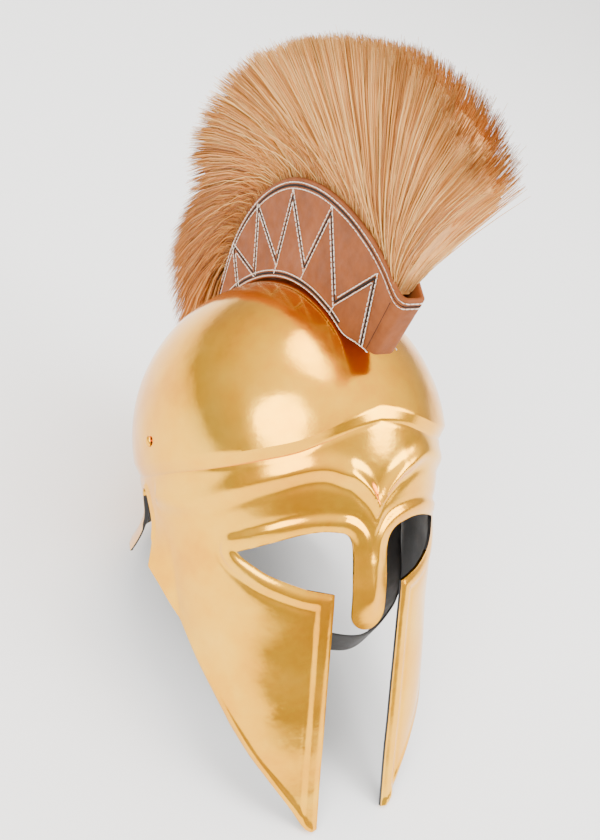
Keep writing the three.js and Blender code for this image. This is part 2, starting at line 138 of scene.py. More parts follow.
# Columns: share of the back reach, share of the cheek drop: the cheek's upper rear edge.
jaw_rows = [(0.07, 0.31), (0.01, 0.352), (-0.1, 0.433), (-0.247, 0.534), (-0.398, 0.638), (-0.45, 0.72)]
# Columns: share of the half width, share of the cheek drop: the cheek's rear edge and tip from the front.
hem_rows = [
    (0.86, 0.48), (0.837, 0.534), (0.772, 0.638), (0.668, 0.75), (0.555, 0.835), (0.419, 0.928),
    (0.362, 0.97), (0.33, 0.991), (0.3, 1.0)]


def along(rows, place):
    """Smooth value from rows of a place and a value, with level ends."""
    table = np.array(rows, float)
    at, value = table[:, 0], table[:, 1]
    slope = np.gradient(value, at)
    slope[1:-1] = (value[2:] - value[:-2]) / (at[2:] - at[:-2])
    place = np.clip(place, at[0], at[-1])
    i = np.clip(np.searchsorted(at, place) - 1, 0, len(at) - 2)
    step = at[i + 1] - at[i]
    t = (place - at[i]) / step
    start = value[i] * (2 * t**3 - 3 * t**2 + 1) + slope[i] * step * (t**3 - 2 * t**2 + t)
    return start + value[i + 1] * (3 * t**2 - 2 * t**3) + slope[i + 1] * step * (t**3 - t**2)


def through(points, count):
    """Smooth line through chosen points, as count points at even steps."""
    points = np.array(points, float)
    steps = np.r_[0, np.cumsum(np.linalg.norm(np.diff(points, axis=0), axis=1) ** 0.5)]
    fine = np.linspace(0, steps[-1], 12 * count)
    line = np.stack([along(np.c_[steps, points[:, k]], fine) for k in range(points.shape[1])], 1)
    length = np.r_[0, np.cumsum(np.linalg.norm(np.diff(line, axis=0), axis=1))]
    even = np.linspace(0, length[-1], count)
    return np.stack([np.interp(even, length, line[:, k]) for k in range(points.shape[1])], 1)


def ridge_height(turn):
    return ridge_peak * along(ridge_rows, np.abs(np.degrees(turn)))


def section_column(column, depth):
    return along([(row[0], row[column]) for row in section_rows], depth)


def section_sizes(z):
    depth = -z / cheek_drop
    return (half_width * section_column(1, depth), front_reach * section_column(2, depth),
            back_reach * section_column(3, depth), section_column(4, depth))


def section_point(wide, front, rear, square, turn):
    c, s = np.cos(turn), np.sin(turn)
    power = 2 / np.where(c > 0, square, 2)
    x = wide * np.sign(s) * np.abs(s) ** power
    y = -np.where(c > 0, front, rear) * np.sign(c) * np.abs(c) ** power
    return x, y


def dome_point(turn, tilt, inset):
    size = np.sin(tilt)
    x, y = section_point(
        (half_width - inset) * size, (front_reach - inset) * size, (back_reach - inset) * size, 2, turn)
    return np.stack([x, y, (dome_top - inset) * np.cos(tilt)], -1)


def lower_point(turn, z, inset):
    wide, front, rear, square = section_sizes(z)
    behind = np.clip(4 * np.maximum(0, 0.1 - np.cos(turn)), 0, 1)
    low = np.clip((-z - lip_start * neck_drop) / (lip_run * neck_drop), 0, 1)
    flare = neck_lip * behind * low**2
    x, y = section_point(wide + flare - inset, front - inset, rear + flare - inset, square, turn)
    return np.stack([x, y, z], -1)


def bump(value, width):
    return np.exp(-((value / width) ** 2))


def ramp(value):
    t = np.clip(value, 0, 1)
    return t * t * (3 - 2 * t)


def line_distance(points, line):
    best = np.full(len(points), 1e9)
    for a, b in zip(line[:-1], line[1:]):
        way = b - a
        t = np.clip((points - a) @ way / (way @ way), 0, 1)
        best = np.minimum(best, np.linalg.norm(points - a - t[:, None] * way, axis=1))
    return best


quarter = np.linspace(0, math.pi / 2, 14)
nasal_line = np.c_[nasal_half * np.sin(quarter), -nasal_drop + nasal_half * (1 - np.cos(quarter))]
nasal_side = [(nasal_half * 1.02, -0.7 * nasal_drop)]
face_size = np.array([eye_reach, -cheek_drop])
lid_line = through(np.vstack([nasal_side, np.array(eye_top) * face_size]), 44)
lash_line = through(np.array(eye_floor) * face_size, 16)
cheek_corner = (cheek_gap + 1, -0.318 * cheek_drop)
cheek_end = (cheek_gap + 1.5, -1.2 * cheek_drop)
cheek_top = through([lash_line[-1], cheek_corner], 8)
cheek_front = through([cheek_corner, cheek_end], 40)
face_half = np.vstack([nasal_line, lid_line, lash_line[1:], cheek_top[1:], cheek_front[1:]])
neck_size = np.array([back_reach, -neck_drop])
jaw_size = np.array([back_reach, -cheek_drop])
arch_line = through(np.array(arch_rows) * neck_size, 60)
jaw_line = through(np.array(jaw_rows) * jaw_size, 50)
hem_line = through(np.array(hem_rows) * np.array([half_width, -cheek_drop]), 70)


def face_edge(line):
    """Lifts an outline of x and z, seen from the front, onto the shell."""
    x, z = line[:, 0], np.clip(line[:, 1], -1.05 * cheek_drop, 0)
    wide, front, _, square = section_sizes(z)
    y = -front * np.maximum(0, 1 - np.clip(x / wide, 0, 1) ** square) ** (1 / square)
    return np.c_[x, y, z]


def side_edge(line):
    """Lifts an outline of y and z, seen from the side, onto the shell."""
    y, z = line[:, 0], line[:, 1]
    wide, front, rear, square = section_sizes(z)
    ahead = y < 0
    power = np.where(ahead, square, 2)
    reach = np.where(ahead, front, rear)
    x = wide * np.maximum(0, 1 - np.clip(np.abs(y) / reach, 0, 1) ** power) ** (1 / power)
    return np.c_[x, y, z]


eye_edge = face_edge(np.vstack([lid_line, lash_line[1:], cheek_top[1:], cheek_front[1:-8]]))
nose_edge = face_edge(np.vstack([nasal_line, nasal_side]))
rear_edge = np.vstack([side_edge(jaw_line[:40]), face_edge(hem_line[14:])])
arch_edge = side_edge(arch_line)

# Heights and widths of the raised work, and of the slopes and troughs beside it, in mm.
brow_rise = 4.0
brow_width = 6.0
brow_trough = 0.7
valley_depth = 0.7
nose_rise = 3.0
nose_width = 7.0
rim_rise = 1.9
rim_width = 9.0
rim_slope = 4.4
rim_trough = 0.4
roll_depth = 1.1
roll_width = 4
hem_rise = 0.8
hem_width = 4.2
hem_slope = 2.8
hem_roll = 0.9
ear_rise = 1.2
ear_width = 3.6
ear_slope = 1.4
ridge_groove = 0.6
ridge_groove_width = 1.2


def relief(points):
    """How far the worked brass stands out of the plain surface."""
    x, y, z = points.T
    across = np.abs(x)
    out = np.zeros(len(points))
    front = y < 0
    crest = ridge_peak * along(brow_rows, across / half_width)
    over = z - crest
    fade = bump(across, 0.95 * half_width)
    brow = brow_rise * np.where(over > 0, bump(over, brow_width * 1.15), bump(over, brow_width * 0.8)) * fade
    brow -= brow_trough * bump(over + 1.6 * brow_width, 3) * fade
    valley = valley_depth * bump(across, 3) * bump(z - crest - 4, 9)
    nose = nose_rise * bump(across, nose_width) * ramp(-z / (0.35 * nasal_drop))
    nose *= 1 - 0.8 * ramp((-z / nasal_drop - 0.8) / 0.17)
    near = np.where(front & (z < 6))[0]
    mirrored = np.c_[across, y, z][near]
    rim = line_distance(mirrored, eye_edge)
    tip = line_distance(mirrored, nose_edge)
    hem = line_distance(mirrored, rear_edge)
    raised = np.zeros(len(points))
    # The eye's border starts under the brow and gives way to the nasal's own ridge.
    low = ramp((-z[near] - 20) / 12)
    on_nose = ramp((nasal_half + 4 - across[near]) / 4)
    low *= 1 - on_nose * ramp((-z[near] - 0.35 * nasal_drop) / (0.35 * nasal_drop))
    raised[near] = rim_rise * ramp((rim_width + 3 - rim) / rim_slope) * low
    raised[near] -= rim_trough * bump(rim - rim_width - 4, 2) * low
    raised[near] -= roll_depth * ramp((roll_width - np.minimum(rim, tip)) / roll_width) * low
    # The hem's border fades towards the cheek's upper rear corner.
    down = 0.3 + 0.7 * ramp((-z[near] / cheek_drop - 0.44) / 0.16)
    rolled = hem_roll * ramp((2 - hem) / 2)
    raised[near] += down * (hem_rise * ramp((hem_width + hem_slope / 2 - hem) / hem_slope) - rolled)
    out[front] = (brow - valley + nose)[front]
    by_ear = (across > 60) & (y > -8) & (y < 50)
    arch = np.where(by_ear & (z < -10) & (z > -100))[0]
    ear = line_distance(np.c_[across, y, z][arch], arch_edge)
    raised[arch] += ear_rise * ramp((ear_width - ear) / ear_slope)
    return out + raised


def grid_faces(rows, columns):
    r, c = np.meshgrid(np.arange(rows - 1), np.arange(columns), indexing="ij")
    a = r * columns + c
    b = r * columns + (c + 1) % columns
    return np.stack([a, a + columns, b + columns, b], -1).reshape(-1, 4)


def skin(inset, detail):
    """Closed body of the helmet's outside, or of its hollow, from rings of points."""
    columns = int(shell_columns * detail)
    share = np.linspace(-1, 1, columns, endpoint=False)
    turn = math.pi * (even_share * share + face_share * share**3)
    rings = []
    top = np.arccos(ridge_height(turn) / dome_top)
    steps = int(dome_rings * detail)
    for k in range(1, steps + 1):
        rings.append(dome_point(turn, np.maximum(0.01, top * k / steps), inset))
    last = rings[-1]
    foot = ridge_height(turn) - ridge_band
    first = lower_point(turn, foot, inset)
    for k in range(1, band_rings):
        rings.append(last + (first - last) * k / band_rings)
    steps = int(lower_rings * detail)
    for k in range(steps + 1):
        z = foot + (-skirt_reach * cheek_drop - foot) * (k / steps) ** ring_growth
        ring = lower_point(turn, z, inset)
        if inset == 0:
            far = np.hypot(ring[:, 0], ring[:, 1])[:, None]
            out = relief(ring) - ridge_groove * bump(z - foot, ridge_groove_width)
            ring[:, :2] *= 1 + out[:, None] / far
        rings.append(ring)
    rows = len(rings)
    points = np.vstack(rings)
    faces = grid_faces(rows, columns).tolist()
    points = np.vstack([points, rings[0].mean(0), rings[-1].mean(0)])
    hub, sole = len(points) - 2, len(points) - 1
    base = (rows - 1) * columns
    for i in range(columns):
        j = (i + 1) % columns
        faces.append([hub, i, j])
        faces.append([sole, base + j, base + i])
    return points, faces


def mesh_piece(name, points, faces, smooth=True):
    """Mesh object of points in the upright frame, with its faces turned out."""
    mesh = bpy.data.meshes.new(name)
    mesh.from_pydata(laid(points).tolist(), [], faces)
    piece = bpy.data.objects.new(name, mesh)
    bpy.context.scene.collection.objects.link(piece)
    corners = np.zeros(3 * len(mesh.vertices))
    mesh.vertices.foreach_get("co", corners)
    mesh.calc_loop_triangles()
    thirds = np.zeros(3 * len(mesh.loop_triangles), int)
    mesh.loop_triangles.foreach_get("vertices", thirds)
    a, b, c = corners.reshape(-1, 3)[thirds.reshape(-1, 3)].transpose(1, 0, 2)
    if np.einsum("ij,ij->", a, np.cross(b, c)) < 0:
        mesh.flip_normals()
    if smooth:
        mesh.shade_smooth()
    return piece


def prism(name, outline, axis, start, end):
    """Cutter along X (pairs are y and z) or along Y (pairs are x and z)."""
    outline = np.array(outline, float)
    count = len(outline)
    points = []
    for place in (start, end):
        for u, v in outline:
            points.append((place, u, v) if axis == "x" else (u, place, v))
    faces = [list(range(count)), list(range(2 * count - 1, count - 1, -1))]
    for i in range(count):
        j = (i + 1) % count
        faces.append([i, count + i, count + j, j])
    piece = mesh_piece(name, points, faces, False)
    bpy.context.view_layer.objects.active = piece
    tidy = piece.modifiers.new("triangles", "TRIANGULATE")
    tidy.ngon_method = "CLIP"
    settle(piece)
    return piece


def settle(piece):
    """Applies a piece's modifiers."""
    graph = bpy.context.evaluated_depsgraph_get()
    made = bpy.data.meshes.new_from_object(piece.evaluated_get(graph))
    piece.modifiers.clear()
    piece.data = made


def cut(piece, tools):
    for tool in tools:
        step = piece.modifiers.new("cut", "BOOLEAN")
        step.operation = "DIFFERENCE"
        step.solver = "MANIFOLD"
        step.object = tool
    settle(piece)
    for tool in tools:
        bpy.data.objects.remove(tool)


rivet_shank = 1.6
fit = 0.3
bar_reach = 15
below = 1.6 * cheek_drop
beside = 1.4 * half_width
face_outline = np.vstack([face_half, (face_half[1:] * (-1, 1))[::-1]])
jaw_end = jaw_line[-1][0]
side_outline = np.vstack([
    np.array(neck_rows[:2]) * neck_size, arch_line, jaw_line[1:], [(jaw_end, -below)],
    [(neck_rows[0][0] * back_reach, -below)]])
hem_outline = np.vstack([
    hem_line, [(0, -cheek_drop), (0, -below), (beside, -below), (beside, hem_line[0][1])]])


def rivet_bar(side):
    ring = np.linspace(0, 2 * math.pi, 24, endpoint=False)
    circle = (rivet_shank + fit) * np.c_[np.cos(ring), np.sin(ring)] + (0, rivet_rise)
    return prism("bar", circle, "x", side * half_width - bar_reach, side * half_width + bar_reach)


shell = mesh_piece("brass_shell", *skin(0, 1.0))
hollow = mesh_piece("hollow", *skin(wall, hollow_detail))
cut(shell, [
    hollow,
    prism("face", face_outline, "y", -2 * front_reach, 0),
    prism("side", side_outline, "x", -1.5 * half_width, 1.5 * half_width),
    prism("hem_left", hem_outline, "y", -2 * front_reach, 0),
    prism("hem_right", hem_outline * (-1, 1), "y", -2 * front_reach, 0),
    rivet_bar(-1),
    rivet_bar(1)])
shell.data.shade_smooth()
shell.data.set_sharp_from_angle(angle=math.radians(32))


def new_material(name):
    made = bpy.data.materials.new(name)
    made.use_nodes = True
    shader = made.node_tree.nodes["Principled BSDF"]
    place = made.node_tree.nodes.new("ShaderNodeTexCoord").outputs["Object"]
    return made, made.node_tree, shader, place


def noise(tree, place, scale, detail=4, roughness=0.5, stretch=None):
    node = tree.nodes.new("ShaderNodeTexNoise")
    node.inputs["Scale"].default_value = scale
    node.inputs["Detail"].default_value = detail
    node.inputs["Roughness"].default_value = roughness
    if stretch:
        mapping = tree.nodes.new("ShaderNodeMapping")
        mapping.inputs["Scale"].default_value = stretch
        tree.links.new(place, mapping.inputs["Vector"])
        place = mapping.outputs["Vector"]
    tree.links.new(place, node.inputs["Vector"])
    return node.outputs["Fac"]


def colour_ramp(tree, value, *stops):
    node = tree.nodes.new("ShaderNodeValToRGB")
    keys = node.color_ramp.elements
    while len(keys) < len(stops):
        keys.new(0.5)
    for key, (place, colour) in zip(keys, stops):
        key.position = place
        key.color = (*colour, 1) if len(colour) == 3 else colour
    tree.links.new(value, node.inputs["Fac"])
    return node.outputs["Color"]


def spread(tree, value, low, high, start=0.3, end=0.7):
    """Maps a noise value onto a range."""
    node = tree.nodes.new("ShaderNodeMapRange")
    for key, number in zip(("From Min", "From Max", "To Min", "To Max"), (start, end, low, high)):
        node.inputs[key].default_value = number
    tree.links.new(value, node.inputs["Value"])
    return node.outputs["Result"]


def add_bump(tree, shader, *layers):
    """Layers of height: a value, its depth in metres, and strength."""
    before = None
    for value, depth, strength in layers:
        node = tree.nodes.new("ShaderNodeBump")
        node.inputs["Distance"].default_value = depth
        node.inputs["Strength"].default_value = strength
        tree.links.new(value, node.inputs["Height"])
        if before:
            tree.links.new(before, node.inputs["Normal"])
        before = node.outputs["Normal"]
    tree.links.new(before, shader.inputs["Normal"])


# Columns here and in the other materials: place on the ramp, colour.
brass_tones = [(0.3, (0.83, 0.32, 0.004)), (0.5, (0.95, 0.44, 0.012)), (0.72, (1.0, 0.54, 0.04))]
brass, tree, shader, place = new_material("brass")
shader.inputs["Metallic"].default_value = 1
tarnish = noise(tree, place, 17, 6, 0.62)
tree.links.new(colour_ramp(tree, tarnish, *brass_tones), shader.inputs["Base Color"])
polish = noise(tree, place, 38, 5, 0.6)
tree.links.new(spread(tree, polish, 0.1, 0.24), shader.inputs["Roughness"])
add_bump(
    tree, shader,
    (noise(tree, place, 13, 2), 0.006, 0.35),
    (noise(tree, place, 70, 3), 0.0008, 0.25),
    (noise(tree, place, 900, 2, 0.5, (1, 1, 0.15)), 0.00004, 0.3))

inside_tones = [(0.3, (0.012, 0.011, 0.011)), (0.7, (0.03, 0.028, 0.027))]
blacking, tree, shader, place = new_material("blacked_inside")
shader.inputs["Metallic"].default_value = 0
patch = noise(tree, place, 60, 5, 0.6)
tree.links.new(colour_ramp(tree, patch, *inside_tones), shader.inputs["Base Color"])
tree.links.new(spread(tree, patch, 0.42, 0.62), shader.inputs["Roughness"])
add_bump(tree, shader, (noise(tree, place, 420, 3), 0.0002, 0.4))

shell.data.materials.clear()
shell.data.materials.append(brass)
shell.data.materials.append(blacking)
# Faces that look towards the middle of the hollow are painted black, and all others stay brass.
inward = -0.25
count = len(shell.data.polygons)
middles, facings = np.zeros(3 * count), np.zeros(3 * count)
shell.data.polygons.foreach_get("center", middles)
shell.data.polygons.foreach_get("normal", facings)
middles = (middles.reshape(-1, 3) * metre - np.array(stand)) @ np.array(lean_turn)
facings = facings.reshape(-1, 3) @ np.array(lean_turn)
middles[middles[:, 2] < 0, 2] = 0
outward = np.einsum("ij,ij->i", facings, middles) / np.linalg.norm(middles, axis=1)
shell.data.polygons.foreach_set("material_index", (outward < inward).astype(np.int32))
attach(shell, "root")
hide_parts("helmet_shell")

# Crest box
# Two sides, a floor and rounded ends of 2.5 mm tanned leather, set along the dome's top and open above for
# the hair. Its upper edge turns up at the front.
crest_half = 11.0
crest_leather = 2.5
crest_reach = 141.0
crest_top = 178.0
crest_lift = 3.0
seat_drop = 1.9
# Columns: degrees from the dome's top and lift of the foot, then y and z shares of the top edge.
crest_rows = [
    (-57.5, 5.77, -1, 0.585), (-55.5, 5.13, -0.965, 0.61), (-52, 3.48, -0.89, 0.7), (-46, 1.16, -0.79, 0.785),
    (-35.5, 0.83, -0.62, 0.885), (-23, 0.91, -0.41, 0.965), (-10, 1.04, -0.18, 1), (2.5, 1.03, 0.03, 0.975),
    (15, 0.96, 0.22, 0.905), (26.5, 1, 0.39, 0.79), (37.5, 0.93, 0.54, 0.63), (44.5, 1.05, 0.625, 0.535),
    (46.5, 1.06, 0.65, 0.505)]
foot_turn = np.radians([row[0] for row in crest_rows])
foot_reach = np.where(foot_turn < 0, front_reach, back_reach)
foot_radius = 1 / np.hypot(np.sin(foot_turn) / foot_reach, np.cos(foot_turn) / dome_top)
foot_radius += crest_lift * np.array([row[1] for row in crest_rows]) - seat_drop
crest_foot = foot_radius[:, None] * np.c_[np.sin(foot_turn), np.cos(foot_turn)]
crest_edge = np.array([row[2:] for row in crest_rows]) * (crest_reach, crest_top)
crest_middle = (crest_foot + crest_edge) / 2
crest_station = np.r_[0, np.cumsum(np.linalg.norm(np.diff(crest_middle, axis=0), axis=1))]
crest_length = crest_station[-1]


def crest_line(edge, station):
    return np.stack([along(np.c_[crest_station, edge[:, k]], station) for k in (0, 1)], -1)


def crest_point(station, height, side):
    """Point over a place along the crest: mm up from its foot, mm to the side of its middle."""
    foot, edge = crest_line(crest_foot, station), crest_line(crest_edge, station)
    tall = np.linalg.norm(edge - foot, axis=-1, keepdims=True)
    height = np.where(height < 0, tall[..., 0] + height, height)[..., None]
    yz = foot + (edge - foot) * height / tall
    return np.concatenate([np.broadcast_to(side, yz.shape[:-1])[..., None], yz], -1)


around = np.linspace(0, 2 * math.pi, 6001)
end_power = 2 / 7
loop_s = np.sign(np.cos(around)) * np.abs(np.cos(around)) ** end_power
loop_x = np.sign(np.sin(around)) * np.abs(np.sin(around)) ** end_power
walked = np.r_[0, np.cumsum(np.hypot(np.diff(loop_s) * crest_length / 2, np.diff(loop_x) * crest_half))]
loop_count = 360
wall_rings = 12
lining_rings = 6
loop_at = np.linspace(0, walked[-1], loop_count, endpoint=False)
loop_s, loop_x = np.interp(loop_at, walked, loop_s), np.interp(loop_at, walked, loop_x)


def crest_ring(inset, height):
    station = crest_length / 2 + (crest_length / 2 - inset) * loop_s
    return crest_point(station, np.full(loop_count, height), (crest_half - inset) * loop_x)


def crest_share(inset, share):
    lower = crest_ring(inset, 1.0)
    upper = crest_ring(inset, -crest_leather / 2)
    return lower + (upper - lower) * share


rings = [crest_ring(0.9, 0.001), crest_ring(0.25, 0.25)]
rings += [crest_share(0, share) for share in np.linspace(0, 1, wall_rings)]
lip = crest_leather / 2
for turn in np.linspace(0, math.pi, 8)[1:-1]:
    rings.append(crest_ring(lip - lip * math.cos(turn), -lip + lip * math.sin(turn) - 0.001))
rings += [crest_share(crest_leather, share) for share in np.linspace(1, 0.1, lining_rings)]
rings.append(crest_ring(crest_leather, crest_leather))
faces = grid_faces(len(rings), loop_count).tolist()
for base in (0, (len(rings) - 1) * loop_count):
    for i in range(loop_count // 2):
        corners = [i, i + 1, loop_count - i - 1, (loop_count - i) % loop_count]
        corners = [base + c for c in dict.fromkeys(corners)]
        if len(corners) > 2:
            faces.append(corners if base else corners[::-1])
crest = mesh_piece("crest_leather", np.vstack(rings), faces)
crest.data.set_sharp_from_angle(angle=math.radians(50))

tanned_tones = [(0.3, (0.17, 0.044, 0.008)), (0.52, (0.235, 0.062, 0.012)), (0.75, (0.30, 0.088, 0.022))]
tanned, tree, shader, place = new_material("tanned_leather")
mottle = noise(tree, place, 45, 6, 0.65)
tree.links.new(colour_ramp(tree, mottle, *tanned_tones), shader.inputs["Base Color"])
tree.links.new(spread(tree, noise(tree, place, 160, 4), 0.5, 0.72), shader.inputs["Roughness"])
shader.inputs["Specular IOR Level"].default_value = 0.25
add_bump(
    tree, shader,
    (noise(tree, place, 60, 3), 0.0012, 0.25),
    (noise(tree, place, 1400, 3, 0.6), 0.00015, 0.45))
crest.data.materials.append(tanned)
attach(crest, "root")
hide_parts("crest_box")

# Stitching
# White waxed thread in two rows beside a blackened groove, round the crest's upper edge, along its foot and
# in a zigzag over both sides, each stitch a short run that dips into its holes.
stitch_long = 3.1
stitch_pitch = 3.4
thread_radius = 0.35
groove_half = 0.75
row_apart = 1.65
stitch_rise = 0.22
stitch_wander = 0.13
thread_sides = 5
groove_step = 1.2
groove_wander = 0.12
groove_rise = 0.16
groove_sides = 6
mitre_limit = 0.4
# Columns: row of the crest's table, share of its height.
zigzag_rows = [
    (8.95, 0.05), (9.05, 0.85), (7.85, 0.08), (7.55, 0.87), (6.65, 0.17), (5.95, 0.83), (5.3, 0.2),
    (4.5, 0.84), (3.75, 0.16), (2.2, 0.77), (1.5, 0.02)]
# Lower corners of the zigzag from which the thread runs on towards the foot.
tail_rows = [4, 6, 8]
tail_start = 0.04
tail_run = 0.15
front_crease = [(1.0, 0.85), (0.85, 0.03)]
crease_half = 0.25
# Rows of the crest's table where the foot's stitching starts, doubles and ends.
foot_start = 0.35
foot_double = 3.3
foot_end = 11.7
# Heights over the foot, and below the upper edge, in mm.
foot_heights = (1.3, 4.9)
foot_groove = 3.1
foot_front = 1.1
edge_heights = (3.0, 7.0)
edge_groove_height = 5.0
foot_points = 90
end_start = 0.93
end_curve = 0.07
end_divide = 10
end_forward = 0.35
draw = np.random.default_rng(11)


def to_station(row):
    return np.interp(row, np.arange(len(crest_rows)), crest_station)


def on_side(rows, side):
    station = to_station(np.array([row[0] for row in rows]))
    share = np.array([row[1] for row in rows])[:, None]
    foot, edge = crest_line(crest_foot, station), crest_line(crest_edge, station)
    yz = foot + (edge - foot) * share
    return np.c_[np.full(len(yz), side * crest_half), yz]


def beside_line(line, apart):
    """Parallel of a line on the crest's side, with mitred corners."""
    way = np.diff(line[:, 1:], axis=0)
    way /= np.linalg.norm(way, axis=1)[:, None]
    normal = np.c_[-way[:, 1], way[:, 0]]
    joint = np.vstack([normal[:1], normal[:-1] + normal[1:], normal[-1:]])
    joint /= np.linalg.norm(joint, axis=1)[:, None]
    lean_in = np.r_[1, np.einsum("ij,ij->i", joint[1:-1], normal[1:]), 1]
    moved = line.copy()
    moved[:, 1:] += joint * (apart / np.maximum(lean_in, mitre_limit))[:, None]
    return moved


def round_edge(height):
    """Line once round the crest, a height below its upper edge."""
    ring = crest_ring(0, -height)
    return np.vstack([ring, ring[:1]])


def along_foot(low, high, height, side):
    station = np.linspace(to_station(low), to_station(high), foot_points)
    return crest_point(station, np.full(foot_points, height), side * crest_half)


def walk(line, step):
    length = np.r_[0, np.cumsum(np.linalg.norm(np.diff(line, axis=0), axis=1))]
    return np.arange(step / 2, length[-1], step), length


def at_length(line, length, places):
    return np.stack([np.interp(places, length, line[:, k]) for k in range(3)], 1)


def out_of_crest(points):
    """Direction out of the crest's wall: sideways, or forward and back at its rounded ends."""
    over = np.maximum(0, np.abs(points[:, 0]) / crest_half - end_start) / end_curve
    end = np.sign(points[:, 1] - end_divide) * np.sqrt(np.maximum(0, 1 - over**2))
    out = np.c_[np.sign(points[:, 0]) * over, end, end_forward * end]
    return out / np.linalg.norm(out, axis=1)[:, None]


def tube_faces(rows, columns):
    """Faces of a tube of rings, closed at both ends."""
    faces = grid_faces(rows, columns).tolist()
    last = (rows - 1) * columns
    faces.append(list(range(columns))[::-1])
    faces.append([last + k for k in range(columns)])
    return faces


def tube_parts(line, height, across, thick, sides):
    """Tube laid on the crest's wall."""
    way = np.gradient(line, axis=0)
    way /= np.linalg.norm(way, axis=1)[:, None]
    out = out_of_crest(line)
    flat = np.cross(way, out)
    ring = np.linspace(0, 2 * math.pi, sides, endpoint=False)
    over = height[:, None] + np.sin(ring) * thick[:, None]
    beside = np.cos(ring) * across[:, None]
    points = line[:, None] + out[:, None] * over[..., None] + flat[:, None] * beside[..., None]
    return points.reshape(-1, 3), tube_faces(len(line), sides)


def joined(parts):
    points, faces, base = [], [], 0
    for part_points, part_faces in parts:
        points.append(part_points)
        faces += [[i + base for i in face] for face in part_faces]
        base += len(part_points)
    return np.vstack(points), faces


def stitches(line):
    """Separate stitches at even steps along a line, each a little off it."""
    made = []
    places, length = walk(line, stitch_pitch)
    rise = stitch_rise * np.array([-1.5, 0.2, 1, 1, 0.2, -1.5])
    thick = thread_radius * np.array([0.6, 0.9, 1, 1, 0.9, 0.6])
    for middle in places:
        run = middle + stitch_long * np.array([-0.5, -0.42, -0.2, 0.2, 0.42, 0.5])
        points = at_length(line, length, run)
        points[:, 1:] += np.linspace(-1, 1, 6)[:, None] * draw.normal(0, stitch_wander, 2)
        if np.linalg.norm(points[-1] - points[0]) > 0.6 * stitch_long:
            made.append(tube_parts(points, rise, thick, thick, thread_sides))
    return made


def groove(line, half=groove_half):
    """Flat dyed band along a line."""
    places, length = walk(line, groove_step)
    points = at_length(line, length, places)
    count = len(points)
    wander = np.convolve(draw.normal(0, groove_wander, count + 4), np.ones(5) / 5, "valid")
    thick = np.full(count, groove_rise)
    return tube_parts(points, np.zeros(count), half * (1 + wander), thick, groove_sides)


thread_tones = [(0.3, (0.66, 0.54, 0.43)), (0.6, (0.90, 0.83, 0.74))]
thread, tree, shader, place = new_material("white_thread")
fuzz = noise(tree, place, 900, 3)
tree.links.new(colour_ramp(tree, fuzz, *thread_tones), shader.inputs["Base Color"])
shader.inputs["Roughness"].default_value = 0.75
add_bump(tree, shader, (noise(tree, place, 2600, 2), 0.0001, 0.6))
groove_tones = [(0.3, (0.006, 0.005, 0.005)), (0.7, (0.03, 0.022, 0.018))]
groove_dye, tree, shader, place = new_material("groove_dye")
fuzz = noise(tree, place, 700, 3)
tree.links.new(colour_ramp(tree, fuzz, *groove_tones), shader.inputs["Base Color"])
tree.links.new(spread(tree, fuzz, 0.5, 0.75), shader.inputs["Roughness"])
shader.inputs["Specular IOR Level"].default_value = 0.1
add_bump(tree, shader, (fuzz, 0.0001, 0.5))
for side, side_name in ((-1, "right"), (1, "left")):
    zigzag = on_side(zigzag_rows, side)
    rows = [along_foot(foot_double, foot_end, height, side) for height in foot_heights]
    rows.append(along_foot(foot_start, foot_double, foot_front, side))
    rows += [beside_line(zigzag, row_apart), beside_line(zigzag, -row_apart)]
    for k in tail_rows:
        row, share = zigzag_rows[k]
        rows.append(on_side([(row, share - tail_start), (row + tail_run, share - tail_run)], side))
    threads = [part for line in rows for part in stitches(line)]
    sewn = mesh_piece("stitches_" + side_name, *joined(threads))
    dyed_lines = [zigzag, along_foot(foot_double, foot_end, foot_groove, side)]
    dyed_parts = [groove(line) for line in dyed_lines]
    dyed_parts.append(groove(on_side(front_crease, side), crease_half))
    grooves = mesh_piece("grooves_" + side_name, *joined(dyed_parts))
    sewn.data.materials.append(thread)
    grooves.data.materials.append(groove_dye)
    for piece in (sewn, grooves):
        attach(piece, "root")
edge_rows = [part for height in edge_heights for part in stitches(round_edge(height))]
edge_sewn = mesh_piece("stitches_edge", *joined(edge_rows))
edge_sewn.data.materials.append(thread)
edge_groove = mesh_piece("groove_edge", *groove(round_edge(edge_groove_height)))
edge_groove.data.materials.append(groove_dye)
for piece in (edge_sewn, edge_groove):
    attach(piece, "root")

# Horsehair plume
# Bundles of natural horsehair, glued by their roots into the crest box and combed into a fan, trimmed at the
# front and ragged at the rear. A dense inner body carries the loose hairs.
hair_radius = 192.0
hair_centre = np.array([-10.0, 85.0])
hair_sink = 9.0
bend_share = 0.35
first_root = 1.35
last_root = 9.6
stem_half = crest_half - crest_leather - 0.9
# Columns: degrees above the rear horizon, share of the hair radius.
hair_rows = [
    (-8, 0.76), (4, 0.84), (14, 0.88), (24, 0.84), (36, 0.8), (48, 0.92), (62, 0.95), (90, 0.935),
    (108, 0.965), (122, 1.02), (135, 1.08), (148, 1.13), (158, 1.12)]
# Columns: share of the hair's length, half thickness of the fan over that of its roots.
hair_thick = [(0, 0.95), (0.12, 1.0), (0.4, 1.9), (0.8, 2.7), (1, 2.8)]
hair_from, hair_to = hair_rows[0][0], hair_rows[-1][0]


